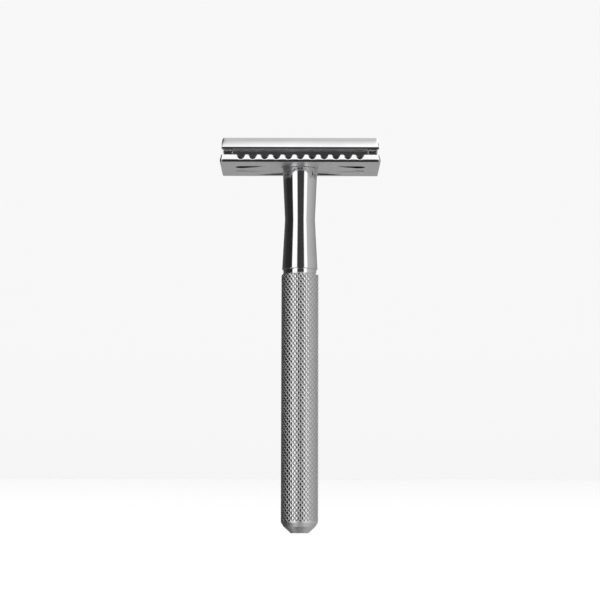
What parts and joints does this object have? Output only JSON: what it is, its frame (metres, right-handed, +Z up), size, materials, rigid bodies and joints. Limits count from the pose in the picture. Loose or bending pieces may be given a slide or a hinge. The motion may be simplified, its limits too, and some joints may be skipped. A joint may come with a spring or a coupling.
{
  "type": "safety razor",
  "caption": "Double-edge safety razor with a convex cap, scalloped safety bars, waisted polished neck and knurled straight handle; the handle unscrews to free the blade.",
  "frame": {"origin": "centre of the flat at the bottom of the handle", "axes": "+Z up the handle, X along the blade, -Y towards one of the two equal cutting edges"},
  "size_m": [0.0442, 0.0244, 0.1098],
  "materials": {
    "head": "polished",
    "neck": "polished",
    "knurled_grip": "fine diamond knurl",
    "end_plug": "satin turned",
    "blade": "rolled strip with honed edges",
    "inner_steel": "machined"
  },
  "bodies": {
    "handle": {"end_plug": "end_plug", "barrel": "knurled_grip", "neck": "neck", "tie_rod": "inner_steel"},
    "base": {"base_plate": "head"},
    "blade": {"blade": "blade"},
    "cap": {"cap": "head", "clamp_stud": "inner_steel", "locating_pins": "inner_steel"}
  },
  "joints": [
    {"name": "head_turn", "type": "hinge", "parent": "handle", "child": "base", "pos_m": [0, 0, 0.1012], "axis": [0, 0, 1], "range_deg": [0, 3240]},
    {"name": "cap_lift", "type": "slide", "parent": "base", "child": "cap", "axis": [0, 0, 1], "range_m": [0, 0.0072]},
    {"name": "blade_lift", "type": "slide", "parent": "base", "child": "blade", "axis": [0, 0, 1], "range_m": [0, 0.0036]}
  ],
  "couplings": [
    {"joint": "cap_lift", "follows": "head_turn", "m_per_rad": 0.00012732},
    {"joint": "blade_lift", "follows": "head_turn", "m_per_rad": 0.00006366}
  ]
}
